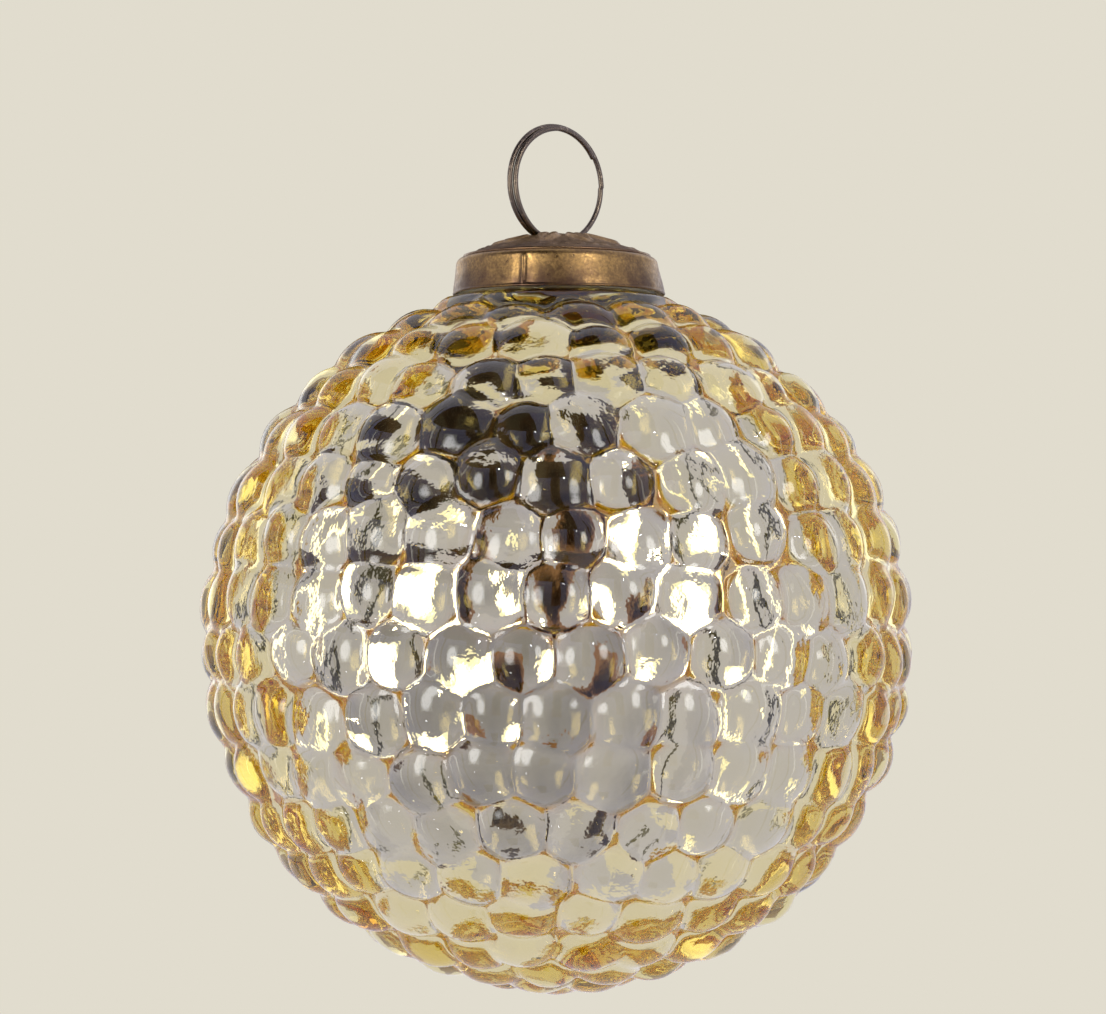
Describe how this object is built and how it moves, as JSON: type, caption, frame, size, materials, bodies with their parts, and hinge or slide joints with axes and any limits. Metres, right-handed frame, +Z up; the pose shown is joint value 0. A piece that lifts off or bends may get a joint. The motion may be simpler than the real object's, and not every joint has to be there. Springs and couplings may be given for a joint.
{
  "type": "glass ball ornament",
  "caption": "Hanging ball ornament of silvered, bumpy glass with an amber tint, an antique brass cap and a ring of wire that swings in the cap.",
  "frame": {"origin": "the point on the inside of the ring's top where a hook bears", "axes": "+Z up, away from the ball; the ring's loop lies in the XZ plane; +X along the line through the crown's two holes, which is the axis that the ornament swings about"},
  "size_m": [0.0994, 0.0998, 0.1217],
  "materials": {
    "tinted_glass": "clear, smooth, with a faint amber tint that deepens where the glass is thick",
    "silvering": "mirror",
    "cement": "matte, grainy",
    "antique_brass": "satin, darkened, with rubbed bright edges",
    "dark_wire": "dark bronzed, semi-gloss"
  },
  "bodies": {
    "ring": {"hanging_ring": "dark_wire"},
    "ornament": {"glass_ball": "tinted_glass", "silver_lining": "silvering", "neck_cement": "cement", "cap_band": "antique_brass", "cap_crown": "antique_brass"}
  },
  "joints": [
    {"name": "ring_swing", "type": "hinge", "parent": "ring", "child": "ornament", "pos_m": [0, 0, -0.01588], "axis": [1, 0, 0], "range_deg": [-45, 45]}
  ]
}
